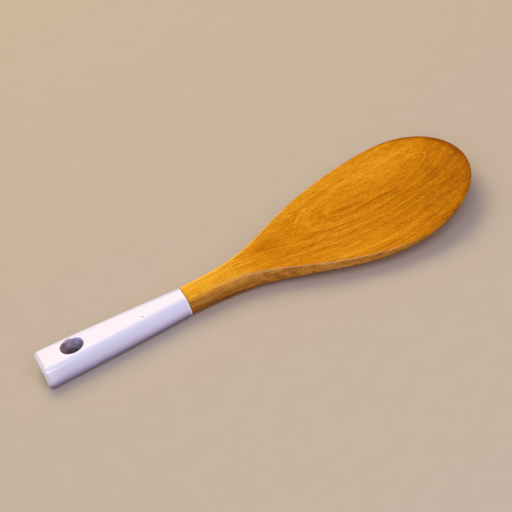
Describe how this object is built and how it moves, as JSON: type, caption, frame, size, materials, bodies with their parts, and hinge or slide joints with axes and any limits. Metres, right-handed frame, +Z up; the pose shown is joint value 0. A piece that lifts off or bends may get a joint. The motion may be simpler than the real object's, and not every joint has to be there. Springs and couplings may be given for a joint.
{
  "type": "rice paddle",
  "caption": "Wooden rice paddle with a broad dished blade, flared neck and a glossy white handle sleeve with a round hanging hole.",
  "frame": {"origin": "centre of the paddle's box at the level of its underside", "axes": "+X from the handle's end to the blade's tip, +Y across the blade, +Z up out of the dished face"},
  "size_m": [0.21, 0.0746, 0.0131],
  "materials": {
    "wood": "oiled honey-coloured wood with a satin sheen",
    "white_handle": "glossy white",
    "glue": "cured wood glue"
  },
  "bodies": {
    "root": {"wooden_paddle": "wood", "handle_sleeve": "white_handle", "glue_bond": "glue"}
  },
  "joints": []
}
